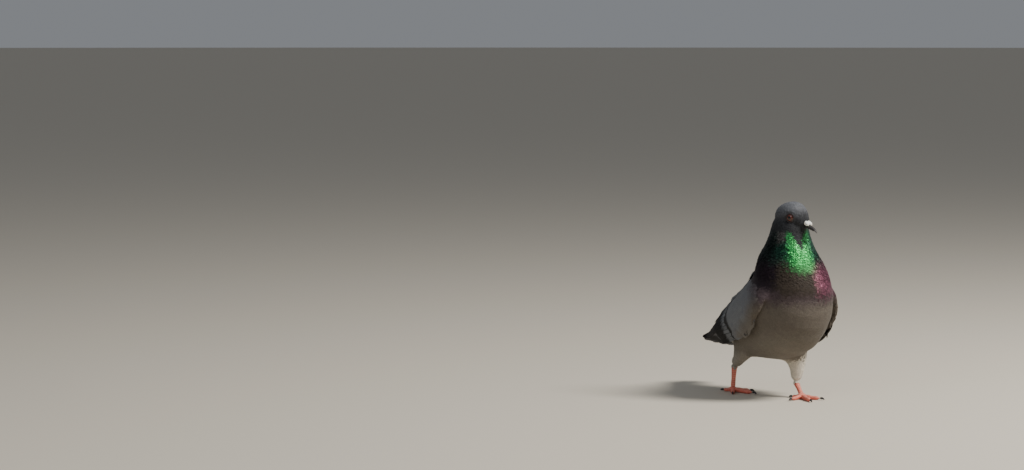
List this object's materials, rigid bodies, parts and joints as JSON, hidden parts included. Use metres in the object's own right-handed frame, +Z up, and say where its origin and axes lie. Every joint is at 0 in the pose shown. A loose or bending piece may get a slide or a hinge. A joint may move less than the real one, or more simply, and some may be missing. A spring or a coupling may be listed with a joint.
{
  "type": "pigeon",
  "caption": "Life-size still model of a standing feral pigeon in mid-stride: slate head, green and purple sheen on the neck, grey folded wings with dark bars, red feet.",
  "frame": {"origin": "on the floor, under the middle of the bird's bounding box", "axes": "+X to the bird's left, -Y ahead of it, +Z up"},
  "size_m": [0.1118, 0.2156, 0.2193],
  "materials": {
    "slate_plumage": "small matte slate-grey feathers that lie flat",
    "neck_plumage": "feathers with a green sheen above and a purple one below",
    "body_plumage": "soft matte grey feathers",
    "wing_plumage": "smooth pale blue-grey wing feathers with two dark bars",
    "flight_plumage": "smooth blackish flight feathers",
    "eye": "glossy orange-red eye with a black pupil",
    "cere": "chalky white swellings over the nostrils",
    "horn": "satin blackish horn of the bill and claws",
    "foot_skin": "scaled coral-red skin"
  },
  "bodies": {
    "root": {"head": "slate_plumage", "neck": "neck_plumage", "trunk": "body_plumage", "rump": "body_plumage", "eye_left": "eye", "eye_right": "eye", "cere": "cere", "bill_upper": "horn", "bill_lower": "horn", "tail": "flight_plumage", "wing_left_coverts": "wing_plumage", "wing_left_secondaries": "wing_plumage", "wing_left_primaries": "flight_plumage", "thigh_left": "body_plumage", "shank_left": "foot_skin", "hallux_left": "foot_skin", "hallux_claw_left": "horn", "inner_toe_left": "foot_skin", "inner_toe_claw_left": "horn", "middle_toe_left": "foot_skin", "middle_toe_claw_left": "horn", "outer_toe_left": "foot_skin", "outer_toe_claw_left": "horn", "wing_right_coverts": "wing_plumage", "wing_right_secondaries": "wing_plumage", "wing_right_primaries": "flight_plumage", "thigh_right": "body_plumage", "shank_right": "foot_skin", "hallux_right": "foot_skin", "hallux_claw_right": "horn", "inner_toe_right": "foot_skin", "inner_toe_claw_right": "horn", "middle_toe_right": "foot_skin", "middle_toe_claw_right": "horn", "outer_toe_right": "foot_skin", "outer_toe_claw_right": "horn"}
  },
  "joints": []
}
